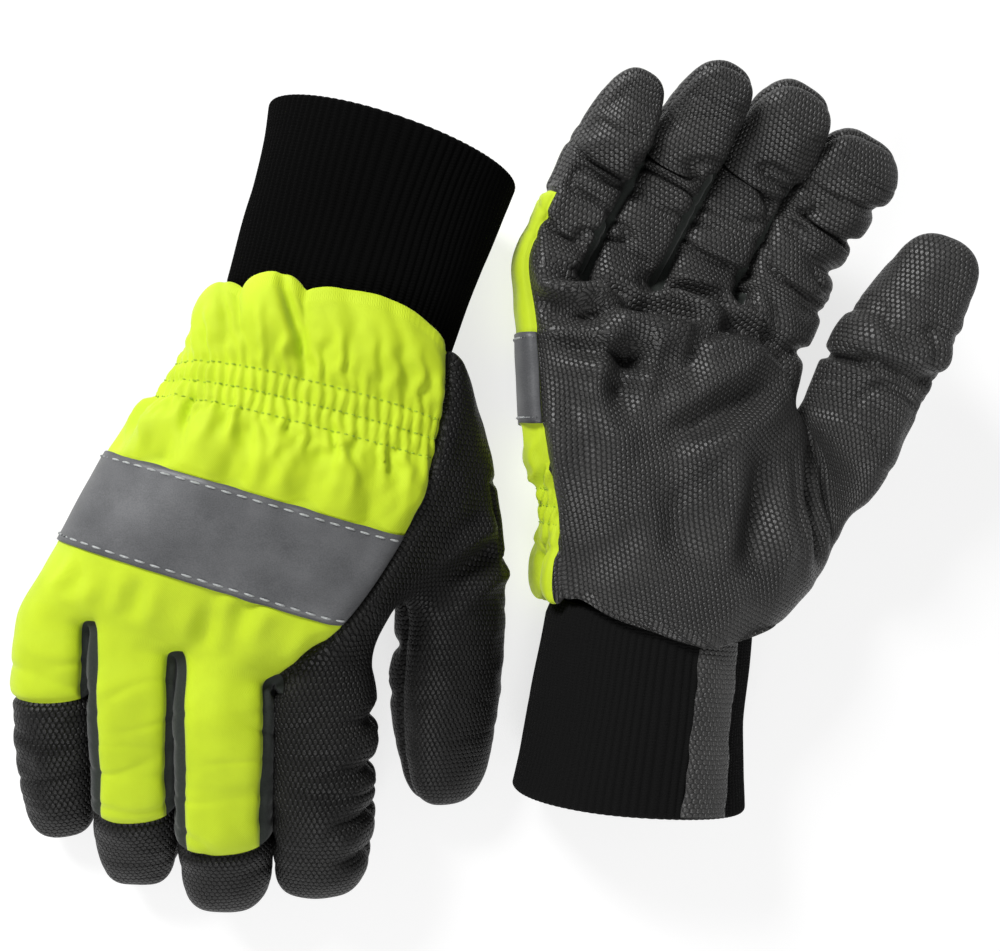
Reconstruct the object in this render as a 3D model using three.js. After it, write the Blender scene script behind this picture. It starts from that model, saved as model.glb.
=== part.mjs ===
// A pair of insulated high-visibility work gloves with rib-knit wrists, both cut for the right hand.
// One lies palm down, the other lies on its back with its palm up.
//
// Each glove is modelled in its own frame, in millimetres: the centre of the wrist opening is the
// origin, the fingers point along +Y, the thumb is on the -X side, the back of the hand faces +Z
// and every finger bends about an axis parallel to X. A skin of four-sided faces covers the whole
// glove, and each panel is the part of that skin between its seams, thickened inwards.
import * as THREE from 'three';

// ---- Driving dimensions ------------------------------------------------------------------------

const SHELL_THICKNESS = 2.4;       // face fabric with the insulation quilted to it
const SEAM_INSET = 0.8;           // how far a panel stops short of its seam line
const TAPE_LIFT = 0.3;             // the tape's underside above the back panel
const TAPE_THICKNESS = 0.8;
const ELASTIC_DEPTH = 2.8;         // the elastic's outer face below the glove's surface
const ELASTIC_THICKNESS = 0.7;
const LINING_DEPTH = 3.9;
const LINING_THICKNESS = 1.1;
const BEND_CLEARANCE = 0.3;        // left between two finger segments at the end of their travel

// How far a digit can bend from straight, in degrees: towards the palm, and backwards.
const FINGER_BEND = { knuckle: { flex: 50, extend: 8 }, middle: { flex: 54, extend: 4 } };
const THUMB_BEND = { knuckle: { flex: 26, extend: 10 }, middle: { flex: 38, extend: 6 } };

// The hand's cross-sections, from the wrist to the knuckles. `little`, `seam` and `index` are the
// [x, y] of the little-finger edge, of the seam between the bright back and the index side, and of
// the index edge; `back` and `palm` are the heights above and below the middle plane.
const SECTIONS = [
  { name: 'opening', little: [47, -9], seam: [-37, 7], index: [-45, 9], back: 27.1, palm: 27 },
  { name: 'elastic top', little: [57, 16], seam: [-34, 38], index: [-50, 40], back: 26.8, palm: 27 },
  { name: 'elastic bottom', little: [64, 30], seam: [-31, 53], index: [-54, 54], back: 26.5, palm: 27 },
  { name: 'tape top', little: [77, 46], seam: [-23, 76], index: [-49, 74], back: 26, palm: 26 },
  { name: 'tape bottom', little: [93, 80], seam: [-3, 110], index: [-19, 96], back: 26, palm: 24 },
];
const SEAM_COLUMN = 6;             // the column of skin points that the bright back's seam follows
const COLUMNS = [0.93, 0.72, 0.48, 0.22, -0.06, -0.36, -0.68, -0.86, -0.96];
const HAND_COLUMNS = 2 * COLUMNS.length + 2;
const THUMB_HOLE = { rows: [2, 3], columns: [8, 9] };
const ELASTIC_ROW = 1;
const TAPE_ROW = 3;
const SIDE_DROP = 2;               // the side edges lie this far below the middle plane
const EDGE_ROUNDNESS = 2.6;        // exponent of the cross-section's crown
const FLAT_CROWN = 1.04;           // above 1, the middle of the back is flat

// Fingers from the little finger to the index: the [x] of both edges at the fork, half thickness,
// height of the middle plane, and the [y] of the knuckle bend, the middle bend and the tip.
const FINGERS = [
  { name: 'little', edges: [102, 80], half: 12.3, height: -3, knuckle: 112, middle: 144, tip: 180 },
  { name: 'ring', edges: [78.4, 52.9], half: 13.6, height: 0, knuckle: 122, middle: 158, tip: 199 },
  { name: 'middle', edges: [51.3, 22.3], half: 14.2, height: 1, knuckle: 132.5, middle: 169, tip: 207 },
  { name: 'index', edges: [20.7, -10.3], half: 14.6, height: -1, knuckle: 132.5, middle: 166, tip: 202 },
];
const FORK_Y = [98, 104, 114, 124, 117];   // outer edge of the little finger, three forks, index edge
const FORK_HEIGHT = 0.55;          // of the half thickness, at the fork's top and bottom points
const FORK_BULGE = 1.12;           // of the half thickness, over the middle of each finger's root

// A digit's rings beyond the bends: `share` of the segment's length from its joint, and `width`
// and `depth` as shares of the full half width and half thickness.
const BEND_RING = { width: 0.99, depth: 0.98 };
const LOWER_RING = { share: 0.5, width: 1.01, depth: 1 };
const UPPER_RING = { share: 0.55, width: 0.95, depth: 0.9 };
const END_RING = { share: 0.86, width: 0.76, depth: 0.66 };

// Where the hand's lining ends, as shares of the first and of the last length of the hand.
const LINING_START = 0.4;
const LINING_END = 0.25;

// The thumb leaves the index side at a slant. Its hinge runs across its root.
const THUMB = {
  root: [-40, 98, -11],
  along: [0.02, 0.96, -0.27],
  hinge: [0.87, 0.35, 0.34],
  lowerLength: 37,
  tipLength: 40,
  halfWidth: 18.5,
  half: 15,
};

// The knitted wrist: [distance from the wrist opening, half width, half thickness].
const CUFF_LEAN = 16;              // degrees between the wrist's axis and the fingers
const CUFF_PROFILE = [[2, 39.5, 23.5], [-8, 40, 23.5], [-30, 41, 23.5], [-50, 43, 24], [-61, 44.5, 24.5]];
const CUFF_SQUARENESS = 0.9;       // 1 is an ellipse; less is squarer
const CUFF_HEM_ROUND = 2;
const CUFF_HEM_INSET = 0.8;        // how far the fold's two edges draw in
const CUFF_THICKNESS = 4.2;        // two layers of knit, folded at the hem
const CUFF_SIDES = 24;
const CUFF_STRIP_SIDES = [15, 17]; // the strip covers the palm side, towards the thumb
const CUFF_STRIP_THICKNESS = 1;
const WRIST_BEND = 14;             // degrees either way

// How each glove lies: turned to its place, rolled and pitched to rest on the ground, and with its
// digits curled by hand. Curls are degrees towards the palm from straight.
const PLACES = [
  {
    name: 'glove1', position: [-62.8, 57.9, 28.01], yaw: 179, roll: 5.72, pitch: 3.51, palmUp: false,
    curl: { knuckle: [10, 10, 9, 8], middle: [16, 18, 18, 14] },
  },
  {
    name: 'glove2', position: [50.7, -55.1, 27.1], yaw: -24, roll: 0, pitch: 0, palmUp: true,
    curl: { knuckle: [14, 16, 17, 15], middle: [26, 30, 32, 28] },
  },
];

const COLOURS = {
  bright: { color: '#c8f01a', roughness: 0.75 },
  textured: { color: '#26272a', roughness: 0.55 },
  tape: { color: '#6d6f73', roughness: 0.45 },
  knit: { color: '#0d0d0f', roughness: 0.95 },
  lining: { color: '#3a3a3d', roughness: 0.95 },
  elastic: { color: '#e6e6e0', roughness: 0.9 },
};

// ---- The skin: shared points and four-sided faces, each in a named panel --------------------------

function makeSkin() {
  return { points: [], faces: [] };
}

function addPoints(skin, vectors) {
  return vectors.map((vector) => skin.points.push(vector) - 1);
}

function addFace(skin, panel, corners, row) {
  skin.faces.push({ panel, corners, row });
}

// Joins two rings of the same length; panels[k] names the face between points k and k + 1, and the
// row numbers the length of the hand they belong to.
function joinRings(skin, near, far, panels, row) {
  panels.forEach((panel, k) => {
    const next = (k + 1) % near.length;
    if (panel) addFace(skin, panel, [near[k], far[k], far[next], near[next]], row);
  });
}

function faceNormal(skin, { corners }) {
  const [a, b, c, d] = corners.map((corner) => skin.points[corner]);
  return c.clone().sub(a).cross(d.clone().sub(b)).normalize();
}

function vertexNormals(skin) {
  const normals = skin.points.map(() => new THREE.Vector3());
  for (const face of skin.faces) {
    const normal = faceNormal(skin, face);
    face.corners.forEach((corner) => normals[corner].add(normal));
  }
  return normals.map((normal) => normal.normalize());
}

// One closed solid from the panel's faces, between two depths below the skin (negative is above).
function panelGeometry(skin, normals, accepts, topDepth, bottomDepth) {
  const faces = skin.faces.filter(accepts);
  const edgeUse = new Map();
  const inward = new Map();
  for (const { corners } of faces) {
    const middle = new THREE.Vector3();
    corners.forEach((corner) => middle.addScaledVector(skin.points[corner], 1 / corners.length));
    corners.forEach((corner, k) => {
      const next = corners[(k + 1) % corners.length];
      edgeUse.set(`${corner},${next}`, [corner, next]);
      const pull = middle.clone().sub(skin.points[corner]).normalize();
      inward.set(corner, (inward.get(corner) ?? new THREE.Vector3()).add(pull));
    });
  }
  const border = [...edgeUse.values()].filter(([a, b]) => !edgeUse.has(`${b},${a}`));
  const onBorder = new Set(border.flat());

  const used = [...inward.keys()];
  const order = new Map(used.map((corner, k) => [corner, k]));
  const positions = [];
  for (const depth of [topDepth, bottomDepth]) {
    for (const corner of used) {
      const point = skin.points[corner].clone().addScaledVector(normals[corner], -depth);
      if (onBorder.has(corner)) point.addScaledVector(inward.get(corner).normalize(), SEAM_INSET);
      positions.push(point.x, point.y, point.z);
    }
  }

  const under = used.length;
  const index = [];
  for (const { corners } of faces) {
    const [a, b, c, d] = corners.map((corner) => order.get(corner));
    index.push(a, b, c, a, c, d);
    index.push(a + under, c + under, b + under, a + under, d + under, c + under);
  }
  for (const [from, to] of border) {
    const a = order.get(from);
    const b = order.get(to);
    index.push(a, a + under, b + under, a, b + under, b);
  }
  const geometry = new THREE.BufferGeometry();
  geometry.setAttribute('position', new THREE.Float32BufferAttribute(positions, 3));
  geometry.setIndex(index);
  geometry.computeVertexNormals();
  return geometry;
}

// ---- Rings of the hand and of the digits ----------------------------------------------------------

const radians = THREE.MathUtils.degToRad;

// Twenty points round the hand: nine across the back, the index edge, nine across the palm, and
// the little-finger edge.
function handRing({ little, seam, index, back, palm }) {
  const crown = (f) => Math.min(1, FLAT_CROWN * Math.sqrt(1 - Math.abs(f) ** EDGE_ROUNDNESS));
  const seamAt = COLUMNS[SEAM_COLUMN];
  const place = (f, z) => {
    const [from, to, share] = f >= seamAt
      ? [seam, little, (f - seamAt) / (1 - seamAt)]
      : [index, seam, (f + 1) / (seamAt + 1)];
    const x = THREE.MathUtils.lerp(from[0], to[0], share);
    const y = THREE.MathUtils.lerp(from[1], to[1], share);
    return new THREE.Vector3(x, y, z);
  };
  return [
    ...COLUMNS.map((f) => place(f, back * crown(f))),
    place(-1, -SIDE_DROP),
    ...[...COLUMNS].reverse().map((f) => place(f, -palm * crown(f))),
    place(1, -SIDE_DROP),
  ];
}

// The ring at the forks, where the hand opens into four fingers, with a web point in each fork.
function forkRing() {
  const edges = [FINGERS[0].edges[0], ...FINGERS.slice(1).map((finger, k) => (
    (FINGERS[k].edges[1] + finger.edges[0]) / 2)), FINGERS.at(-1).edges[1]];
  const across = [];
  FINGERS.forEach((finger, k) => {
    const y = (FORK_Y[k] + FORK_Y[k + 1]) / 2;
    const x = (edges[k] + edges[k + 1]) / 2;
    const { half, height } = finger;
    across.push({ x: edges[k], y: FORK_Y[k], half: half * FORK_HEIGHT, height });
    across.push({ x, y, half: half * FORK_BULGE, height });
  });
  const index = FINGERS.at(-1);
  across.push({ x: edges.at(-1), y: FORK_Y.at(-1), half: index.half * FORK_HEIGHT, height: index.height });
  const edgePoint = (k) => new THREE.Vector3(edges[k], FORK_Y[k], FINGERS[Math.min(k, 3)].height);
  return {
    ring: [
      ...across.map(({ x, y, half, height }) => new THREE.Vector3(x, y, height + half)),
      edgePoint(4),
      ...across.reverse().map(({ x, y, half, height }) => new THREE.Vector3(x, y, height - half)),
      edgePoint(0),
    ],
    webs: [1, 2, 3].map(edgePoint),
  };
}

// Eight points round a digit: three across its back, a side, three across its front, a side.
const OCTAGON = [[0.78, 0.8], [0, 1], [-0.78, 0.8], [-1, 0], [-0.78, -0.8], [0, -1], [0.78, -0.8], [1, 0]];

function digitRing({ centre, across, up, along, halfWidth, half, gap = () => 0 }) {
  return OCTAGON.map(([side, rise]) => centre.clone()
    .addScaledVector(across, side * halfWidth)
    .addScaledVector(up, rise * half)
    .addScaledVector(along, gap(rise)));
}

// The gap on each side of a bend: wide at the front, where the digit folds, and narrow at the back.
function bendGap({ flex, extend }, half) {
  const front = half * Math.tan(radians(flex / 2)) + BEND_CLEARANCE;
  const back = half * Math.tan(radians(extend / 2)) + BEND_CLEARANCE;
  return (rise) => THREE.MathUtils.lerp(front, back, (rise + 1) / 2);
}

const BACK_FACES = [0, 1, 2, 7];
const halves = (prefix) => OCTAGON.map((_, k) => `${prefix}_${BACK_FACES.includes(k) ? 'back' : 'front'}`);
const BEND_ROW = OCTAGON.map(() => 'bend');

// Adds one digit to the skin, from its root ring to its tip. `stub` names the panels of the short
// length that stays on the hand; widths taper towards the tip.
function addDigit(skin, rootRing, digit, stub) {
  const { name, centreAt, across, up, along, halfWidth, half, bend } = digit;
  const rootAcross = digit.rootAcross ?? across;
  const ring = (distance, { width, depth }, extra = {}) => addPoints(skin, digitRing({
    centre: centreAt(distance), across, up, along,
    halfWidth: halfWidth * width, half: half * depth, ...extra,
  }));
  const knuckleGap = bendGap(bend.knuckle, half);
  const middleGap = bendGap(bend.middle, half);
  const middle = digit.lowerLength;
  const tip = middle + digit.tipLength;
  const root = { width: 1, depth: 1 };

  const handSide = ring(0, root, { gap: (rise) => -knuckleGap(rise), across: rootAcross });
  joinRings(skin, rootRing, handSide, stub);
  const lowerStart = ring(0, root, { gap: knuckleGap, across: rootAcross });
  joinRings(skin, handSide, lowerStart, BEND_ROW);
  const lowerMiddle = ring(middle * LOWER_RING.share, LOWER_RING);
  joinRings(skin, lowerStart, lowerMiddle, halves(`${name}_lower`));
  const lowerEnd = ring(middle, BEND_RING, { gap: (rise) => -middleGap(rise) });
  joinRings(skin, lowerMiddle, lowerEnd, halves(`${name}_lower`));
  const upperStart = ring(middle, BEND_RING, { gap: middleGap });
  joinRings(skin, lowerEnd, upperStart, BEND_ROW);
  const upperMiddle = ring(THREE.MathUtils.lerp(middle, tip, UPPER_RING.share), UPPER_RING);
  joinRings(skin, upperStart, upperMiddle, halves(`${name}_upper`));
  const upperEnd = ring(THREE.MathUtils.lerp(middle, tip, END_RING.share), END_RING);
  joinRings(skin, upperMiddle, upperEnd, halves(`${name}_upper`));
  const [end] = addPoints(skin, [centreAt(tip)]);
  for (const k of [0, 2, 4, 6]) {
    const panel = k < 4 ? `${name}_upper_back` : `${name}_upper_front`;
    addFace(skin, panel, [end, upperEnd[(k + 1) % 8], upperEnd[k], upperEnd[(k + 7) % 8]]);
  }
}

// ---- One glove's skin -----------------------------------------------------------------------------

const AXIS_X = new THREE.Vector3(1, 0, 0);
const AXIS_Y = new THREE.Vector3(0, 1, 0);
const AXIS_Z = new THREE.Vector3(0, 0, 1);

function fingerDigit(finger) {
  const [outer, inner] = finger.edges;
  const x = (outer + inner) / 2;
  return {
    name: finger.name,
    centreAt: (distance) => new THREE.Vector3(x, finger.knuckle + distance, finger.height),
    across: AXIS_X,
    up: AXIS_Z,
    along: AXIS_Y,
    halfWidth: (outer - inner) / 2,
    half: finger.half,
    lowerLength: finger.middle - finger.knuckle,
    tipLength: finger.tip - finger.middle,
    bend: FINGER_BEND,
  };
}

function thumbDigit() {
  const along = new THREE.Vector3(...THUMB.along).normalize();
  const hinge = new THREE.Vector3(...THUMB.hinge).normalize();
  const up = hinge.clone().cross(along).normalize();
  const root = new THREE.Vector3(...THUMB.root);
  return {
    ...THUMB,
    name: 'thumb',
    centreAt: (distance) => root.clone().addScaledVector(along, distance),
    across: along.clone().cross(up).normalize(),
    rootAcross: hinge,
    up,
    along,
    bend: THUMB_BEND,
  };
}

// The panels of the faces round one row of the hand. Columns 0 to 7 cross the back, 8 and 9 the
// index side, 10 to 17 the palm, and the last two the little-finger side, which is part of the back.
function handPanels(row) {
  return Array.from({ length: HAND_COLUMNS }, (_, k) => {
    if (THUMB_HOLE.rows.includes(row) && THUMB_HOLE.columns.includes(k)) return null;
    if (k < SEAM_COLUMN || k >= HAND_COLUMNS - 2) return 'back_panel';
    return k <= THUMB_HOLE.columns[0] ? 'side_panel' : 'palm_panel';
  });
}

function gloveSkin() {
  const skin = makeSkin();
  const fork = forkRing();
  const rings = [...SECTIONS.map(handRing), fork.ring].map((ring) => addPoints(skin, ring));
  rings.slice(1).forEach((ring, row) => joinRings(skin, rings[row], ring, handPanels(row), row));

  const last = rings.at(-1);
  const sides = [last[19], ...addPoints(skin, fork.webs), last[9]];
  FINGERS.forEach((finger, k) => {
    const bottom = 18 - 2 * k;
    const root = [last[2 * k], last[2 * k + 1], last[2 * k + 2], sides[k + 1],
      last[bottom - 2], last[bottom - 1], last[bottom], sides[k]];
    const stub = OCTAGON.map(() => 'palm_panel');
    stub[0] = k < 3 ? 'back_panel' : 'side_panel';
    stub[1] = stub[0];
    if (k === 0) stub[6] = stub[7] = 'back_panel';
    if (k === 3) stub[2] = 'side_panel';
    addDigit(skin, root, fingerDigit(finger), stub);
  });

  const thumbRoot = [[4, 8], [3, 8], [2, 8], [2, 9], [2, 10], [3, 10], [4, 10], [4, 9]];
  const thumbStub = OCTAGON.map((_, k) => (k < 2 || k === 7 ? 'side_panel' : 'palm_panel'));
  addDigit(skin, thumbRoot.map(([ring, point]) => rings[ring][point]), thumbDigit(), thumbStub);
  return skin;
}

// The lining of the hand stops short of the wrist opening and of the forks.
function liningSkin() {
  const skin = makeSkin();
  const between = (a, b, share) => a.map((point, k) => point.clone().lerp(b[k], share));
  const hand = SECTIONS.map(handRing);
  const first = between(hand[0], hand[1], LINING_START);
  const last = between(hand.at(-1), forkRing().ring, LINING_END);
  const rings = [first, ...hand.slice(1), last].map((ring) => addPoints(skin, ring));
  rings.slice(1).forEach((ring, row) => {
    const panels = handPanels(row).map((panel) => panel && 'hand_lining');
    joinRings(skin, rings[row], ring, panels, row);
  });
  return skin;
}

// ---- The knitted wrist ------------------------------------------------------------------------------

// A tube of two knit layers, folded back on itself at the hem. Built along +Y.
function cuffSkin() {
  const skin = makeSkin();
  const sides = [...Array(CUFF_SIDES).keys()];
  const ring = ([y, width, height], shrink) => addPoints(skin, sides.map((k) => {
    const turn = (2 * Math.PI * k) / CUFF_SIDES;
    const squared = (value) => Math.sign(value) * Math.abs(value) ** CUFF_SQUARENESS;
    return new THREE.Vector3(
      (width - shrink) * squared(Math.cos(turn)), y, (height - shrink) * squared(Math.sin(turn)));
  }));
  const outside = CUFF_PROFILE.map((step) => ring(step, 0));
  const [hemY, hemWidth, hemHeight] = CUFF_PROFILE.at(-1);
  const hem = [
    ring([hemY - CUFF_HEM_ROUND, hemWidth, hemHeight], CUFF_HEM_INSET),
    ring([hemY - CUFF_HEM_ROUND, hemWidth, hemHeight], CUFF_THICKNESS - CUFF_HEM_INSET),
  ];
  const inside = [...CUFF_PROFILE].reverse().map((step) => ring(step, CUFF_THICKNESS));
  const loop = [...outside, ...hem, ...inside];
  loop.forEach((near, k) => {
    const [first, last] = CUFF_STRIP_SIDES;
    const panels = near.map((_, side) => (
      k < outside.length - 1 && side >= first && side < last ? 'cuff_strip' : 'knit_cuff'));
    joinRings(skin, loop[(k + 1) % loop.length], near, panels);
  });
  return skin;
}

// The whole tube as one closed solid.
function wholeCuff(skin) {
  const geometry = new THREE.BufferGeometry().setFromPoints(skin.points);
  geometry.setIndex(skin.faces.flatMap(({ corners: [a, b, c, d] }) => [a, b, c, a, c, d]));
  geometry.computeVertexNormals();
  return geometry;
}

// ---- Assembly ---------------------------------------------------------------------------------------

const MATERIALS = Object.fromEntries(Object.entries(COLOURS).map(([name, look]) => (
  [name, new THREE.MeshStandardMaterial({ ...look, metalness: 0 })])));

function piece(name, geometry, look) {
  const mesh = new THREE.Mesh(geometry, MATERIALS[look]);
  mesh.name = name;
  return mesh;
}

// A group that turns about a joint: its children are placed as if it were at the glove's origin.
function jointGroup(name, centre, axis, degrees) {
  const outer = new THREE.Group();
  outer.name = name;
  outer.userData.axis = axis.clone();
  outer.position.copy(centre);
  outer.quaternion.setFromAxisAngle(axis, radians(degrees));
  const inner = new THREE.Group();
  inner.position.copy(centre).negate();
  outer.add(inner);
  return { outer, inner };
}

function digitPieces(glove, skin, normals, digit, curl, bendAxis) {
  const half = (segment) => ['back', 'front'].map((face) => {
    const panel = `${digit.name}_${segment}_${face}`;
    const geometry = panelGeometry(skin, normals, (f) => f.panel === panel, 0, SHELL_THICKNESS);
    const bright = face === 'back' && segment === 'lower' && !['index', 'thumb'].includes(digit.name);
    return piece(`${glove}_${panel}`, geometry, bright ? 'bright' : 'textured');
  });
  const joint = (place, distance, degrees) => (
    jointGroup(`${glove}_${digit.name}_${place}`, digit.centreAt(distance), bendAxis[place], degrees));
  const knuckle = joint('knuckle', 0, curl[0]);
  const middle = joint('middle', digit.lowerLength, curl[1]);
  knuckle.inner.add(...half('lower'), middle.outer);
  middle.inner.add(...half('upper'));
  return knuckle.outer;
}

function makeGlove({ name, position, yaw, roll, pitch, palmUp, curl }) {
  const glove = new THREE.Group();
  const skin = gloveSkin();
  const normals = vertexNormals(skin);
  const layer = (accepts, top, bottom) => panelGeometry(skin, normals, accepts, top, bottom);
  const shell = (panel) => layer((face) => face.panel === panel, 0, SHELL_THICKNESS);
  const acrossBack = (row) => (face) => face.row === row && face.panel === 'back_panel';
  const topOfElastic = (face) => acrossBack(ELASTIC_ROW)(face)
    && face.corners.every((corner) => skin.points[corner].z > 0);
  const tape = layer(acrossBack(TAPE_ROW), -TAPE_LIFT - TAPE_THICKNESS, -TAPE_LIFT);
  const elastic = layer(topOfElastic, ELASTIC_DEPTH, ELASTIC_DEPTH + ELASTIC_THICKNESS);
  const liningLayer = liningSkin();
  const lining = panelGeometry(liningLayer, vertexNormals(liningLayer), () => true,
    LINING_DEPTH, LINING_DEPTH + LINING_THICKNESS);
  glove.add(
    piece(`${name}_back_panel`, shell('back_panel'), 'bright'),
    piece(`${name}_side_panel`, shell('side_panel'), 'textured'),
    piece(`${name}_palm_panel`, shell('palm_panel'), 'textured'),
    piece(`${name}_reflective_tape`, tape, 'tape'),
    piece(`${name}_wrist_elastic`, elastic, 'elastic'),
    piece(`${name}_hand_lining`, lining, 'lining'),
  );

  FINGERS.forEach((finger, k) => {
    const towardsPalm = AXIS_X.clone().negate();
    const axes = { knuckle: towardsPalm, middle: towardsPalm };
    const bends = [curl.knuckle[k], curl.middle[k]];
    glove.add(digitPieces(name, skin, normals, fingerDigit(finger), bends, axes));
  });
  const thumb = thumbDigit();
  const thumbAxes = { knuckle: thumb.rootAcross, middle: thumb.across };
  glove.add(digitPieces(name, skin, normals, thumb, [0, 0], thumbAxes));

  const lean = new THREE.Vector3(Math.cos(radians(CUFF_LEAN)), -Math.sin(radians(CUFF_LEAN)), 0);
  const wrist = jointGroup(`${name}_wrist`, new THREE.Vector3(), lean, 0);
  const cuff = cuffSkin();
  const cuffNormals = vertexNormals(cuff);
  const knit = wholeCuff(cuff);
  const strip = panelGeometry(cuff, cuffNormals, (face) => face.panel === 'cuff_strip',
    -TAPE_LIFT - CUFF_STRIP_THICKNESS, -TAPE_LIFT);
  const cuffPieces = new THREE.Group();
  cuffPieces.rotation.z = -radians(CUFF_LEAN);
  cuffPieces.add(piece(`${name}_knit_cuff`, knit, 'knit'), piece(`${name}_cuff_strip`, strip, 'textured'));
  wrist.inner.add(cuffPieces);
  glove.add(wrist.outer);

  const settle = new THREE.Group();
  settle.add(glove);
  glove.rotation.set(radians(pitch), radians(roll + (palmUp ? 180 : 0)), 0);
  settle.rotation.z = radians(yaw);
  settle.position.set(...position);
  return settle;
}

const gloves = new THREE.Group();
gloves.add(...PLACES.map(makeGlove));

export default gloves;
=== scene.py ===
"""Looks for the pair of insulated high-visibility work gloves.

Each glove is one skin of four-sided faces, laid out flat in the glove's own frame (millimetres, palm
down, fingers along +Y, thumb towards -X), subdivided, creased and gathered, cut into pieces at its
bends, curled to the pose it lies in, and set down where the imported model's glove lies.
"""
import math

import bpy
import numpy as np
from mathutils import Matrix, Vector, kdtree, noise


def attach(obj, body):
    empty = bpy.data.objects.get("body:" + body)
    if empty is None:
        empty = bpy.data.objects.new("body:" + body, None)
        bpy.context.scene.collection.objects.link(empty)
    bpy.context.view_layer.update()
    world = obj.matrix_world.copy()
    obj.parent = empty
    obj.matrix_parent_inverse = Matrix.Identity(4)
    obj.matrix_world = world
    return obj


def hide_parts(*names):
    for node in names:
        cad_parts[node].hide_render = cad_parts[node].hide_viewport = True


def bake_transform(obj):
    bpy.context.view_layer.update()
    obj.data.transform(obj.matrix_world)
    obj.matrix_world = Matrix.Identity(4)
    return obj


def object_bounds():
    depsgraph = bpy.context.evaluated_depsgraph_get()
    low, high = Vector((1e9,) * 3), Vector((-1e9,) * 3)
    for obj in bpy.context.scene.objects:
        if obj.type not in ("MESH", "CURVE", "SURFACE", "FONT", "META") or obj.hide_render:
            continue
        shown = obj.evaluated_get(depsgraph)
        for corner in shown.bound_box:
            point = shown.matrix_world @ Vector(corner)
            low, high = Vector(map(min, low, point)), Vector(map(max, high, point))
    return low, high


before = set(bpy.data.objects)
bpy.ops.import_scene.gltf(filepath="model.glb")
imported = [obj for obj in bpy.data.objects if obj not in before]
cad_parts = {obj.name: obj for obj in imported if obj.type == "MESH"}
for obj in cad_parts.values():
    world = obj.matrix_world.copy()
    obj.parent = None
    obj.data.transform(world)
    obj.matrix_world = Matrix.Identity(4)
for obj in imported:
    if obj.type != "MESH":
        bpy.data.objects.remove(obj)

MM = 0.001
cad_low, cad_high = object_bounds()

# ---- Driving dimensions, in millimetres and degrees ----

# The hand's cross-sections from the wrist opening to the knuckles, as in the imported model.
SECTIONS = [
    dict(little=(47, -9), seam=(-37, 7), index=(-45, 9), back=27.1, palm=27),
    dict(little=(57, 16), seam=(-34, 38), index=(-50, 40), back=26.8, palm=27),
    dict(little=(64, 30), seam=(-31, 53), index=(-54, 54), back=26.5, palm=27),
    dict(little=(77, 46), seam=(-23, 76), index=(-49, 74), back=26, palm=26),
    dict(little=(93, 80), seam=(-3, 110), index=(-19, 96), back=26, palm=24),
]
# A section's corners across the back, as shares of its half width: the little-finger side is 1.
COLUMNS = [0.93, 0.72, 0.48, 0.22, -0.06, -0.36, -0.68, -0.86, -0.96]
SEAM_COLUMN = 6             # where the bright back meets the side panel
BACK_MIDDLE, PALM_MIDDLE = 4, 14
SIDE_DROP = 2               # the corners at the sides lie this much under the middle height
EDGE_ROUNDNESS = 2.6        # of a section's outline, where 2 is an ellipse
FLAT_CROWN = 1.04           # the outline would rise to this, and is cut off flat at 1
# Rows count the sections from the wrist. The elastic, the thumb and the tape lie between these.
ELASTIC_ROWS = (1, 2)
THUMB_ROWS = (2, 4)
TAPE_ROWS = (3, 4)

FINGERS = [
    dict(name="little", edges=(102, 80), half=12.3, height=-3, knuckle=112, middle=144, tip=180),
    dict(name="ring", edges=(78.4, 52.9), half=13.6, height=0, knuckle=122, middle=158, tip=199),
    dict(name="middle", edges=(51.3, 22.3), half=14.2, height=1, knuckle=132.5, middle=169, tip=207),
    dict(name="index", edges=(20.7, -10.3), half=14.6, height=-1, knuckle=132.5, middle=166, tip=202),
]
FORK_Y = (98, 104, 114, 124, 117)       # how far along the fingers part, and the hand's two sides
FORK_HEIGHT = 0.55          # the skin is this much of a finger's height there
WEB_REACH = 5               # the fabric between two fingers reaches this far past their fork
THUMB = dict(
    root=(-40, 98, -11), along=(0.02, 0.96, -0.27), hinge=(0.87, 0.35, 0.34),
    lower=37, tip=40, half_width=18.5, half=15,
)
LOOSENESS = 1.07            # subdivision draws a ring in by this much
TOUCHING = 1.13             # the fingers are this much wider, so that neighbours touch
BEND_REACH = 7              # the fabric bends over this distance each side of a joint
WRIST_REACH = 9             # and the knit over this distance each side of the wrist

GLOVES = [
    dict(name="glove1", place=(-62.8, 57.9, 28.01), yaw=179, roll=5.72, pitch=3.51, palm_up=False,
         knuckle=(10, 10, 9, 8), middle=(16, 18, 18, 14), crumpled=0.6, palm_painted_shading=0.58, knit_painted_shading=0.35),
    dict(name="glove2", place=(50.7, -55.1, 27.1), yaw=-24, roll=0, pitch=0, palm_up=True,
         knuckle=(14, 16, 17, 15), middle=(26, 30, 32, 28), crumpled=1.3, palm_painted_shading=1.6, knit_painted_shading=1.0),
]

CUFF_LEAN = 16
# The knit's outer size from inside the hand to the hem: (distance along, half width, half height).
CUFF_PROFILE = [
    (7, 38, 22), (2, 39.5, 23.5), (-8, 40, 23.5), (-30, 41, 23.5), (-50, 43, 24), (-61, 44.5, 24.5),
]
CUFF_THICKNESS = 4.2
CUFF_SQUARENESS = 0.9
RIB_COUNT = 92
RIB_DEPTH = 0.55
POINTS_PER_RIB = 6
KNIT_AROUND = 215           # length of fabric round the knit
KNIT_ROW = 1.1              # height of one row of knitting
WEAVE = 0.55                # two threads of the bright fabric
STRIP_ANGLES = (230, 258)   # degrees round the cuff, on the palm side towards the thumb
STRIP_RADIUS = 36

CELL = 1.95                 # pitch of the embossed scales
STITCHES = {"thread": (5.0, 3.4, 0.36), "bright_thread": (2.7, 1.5, 0.3)}    # pitch, length, radius
STITCH_SIDES = 6
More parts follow.
